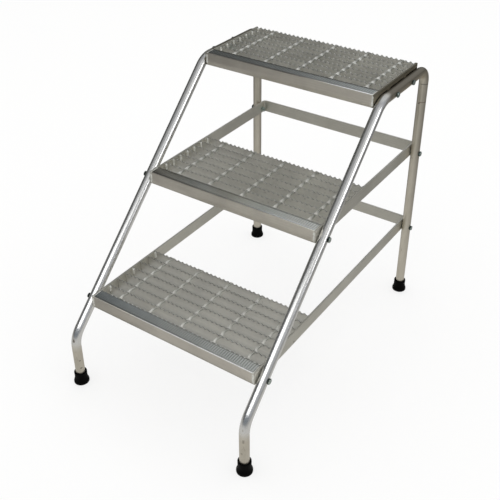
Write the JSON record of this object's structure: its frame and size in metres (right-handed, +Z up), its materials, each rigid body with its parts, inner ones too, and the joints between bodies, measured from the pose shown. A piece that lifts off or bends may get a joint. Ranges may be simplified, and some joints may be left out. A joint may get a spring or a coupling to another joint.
{
  "type": "mounting block",
  "caption": "Open riding steps: bent tube side frames carry serrated grating treads, with U-shaped flat-bar straps to the rear legs and rubber feet.",
  "frame": {"origin": "on the floor, in the middle of the footprint of the four feet", "axes": "+X to the rider's right when climbing, +Y from the lowest step to the highest, +Z up"},
  "size_m": [0.5774, 0.8924, 0.755],
  "materials": {
    "frame_tube": "drawn aluminium tube, bright on the stringers and satin on the legs",
    "flat_bar": "mill-finish flat bar with fine rolling lines",
    "nosing": "mill-finish extrusion with a ribbed top",
    "grating": "pressed and serrated grating, dull mill finish",
    "fastener": "bright zinc plate",
    "rubber": "moulded black rubber"
  },
  "bodies": {
    "root": {"bolt_lower_strap_left": "fastener", "bolt_lower_strap_right": "fastener", "bolt_lower_tread_left": "fastener", "bolt_lower_tread_right": "fastener", "bolt_middle_strap_left": "fastener", "bolt_middle_strap_right": "fastener", "bolt_middle_tread_left": "fastener", "bolt_middle_tread_right": "fastener", "bolt_top_tread_front_left": "fastener", "bolt_top_tread_front_right": "fastener", "bolt_top_tread_rear_left": "fastener", "bolt_top_tread_rear_right": "fastener", "ferrule_front_left": "rubber", "ferrule_front_right": "rubber", "ferrule_rear_left": "rubber", "ferrule_rear_right": "rubber", "lower_grating": "grating", "lower_nosing": "nosing", "lower_strap": "flat_bar", "middle_grating": "grating", "middle_nosing": "nosing", "middle_strap": "flat_bar", "nut_lower_strap_left": "fastener", "nut_lower_strap_right": "fastener", "nut_lower_tread_left": "fastener", "nut_lower_tread_right": "fastener", "nut_middle_strap_left": "fastener", "nut_middle_strap_right": "fastener", "nut_middle_tread_left": "fastener", "nut_middle_tread_right": "fastener", "nut_top_tread_front_left": "fastener", "nut_top_tread_front_right": "fastener", "nut_top_tread_rear_left": "fastener", "nut_top_tread_rear_right": "fastener", "side_frame_left": "frame_tube", "side_frame_right": "frame_tube", "top_end_plate_left": "flat_bar", "top_end_plate_right": "flat_bar", "top_grating": "grating", "top_nosing": "nosing", "washer_lower_strap_left": "fastener", "washer_lower_strap_right": "fastener", "washer_lower_tread_left": "fastener", "washer_lower_tread_right": "fastener", "washer_middle_strap_left": "fastener", "washer_middle_strap_right": "fastener", "washer_middle_tread_left": "fastener", "washer_middle_tread_right": "fastener", "washer_top_tread_front_left": "fastener", "washer_top_tread_front_right": "fastener", "washer_top_tread_rear_left": "fastener", "washer_top_tread_rear_right": "fastener"}
  },
  "joints": []
}
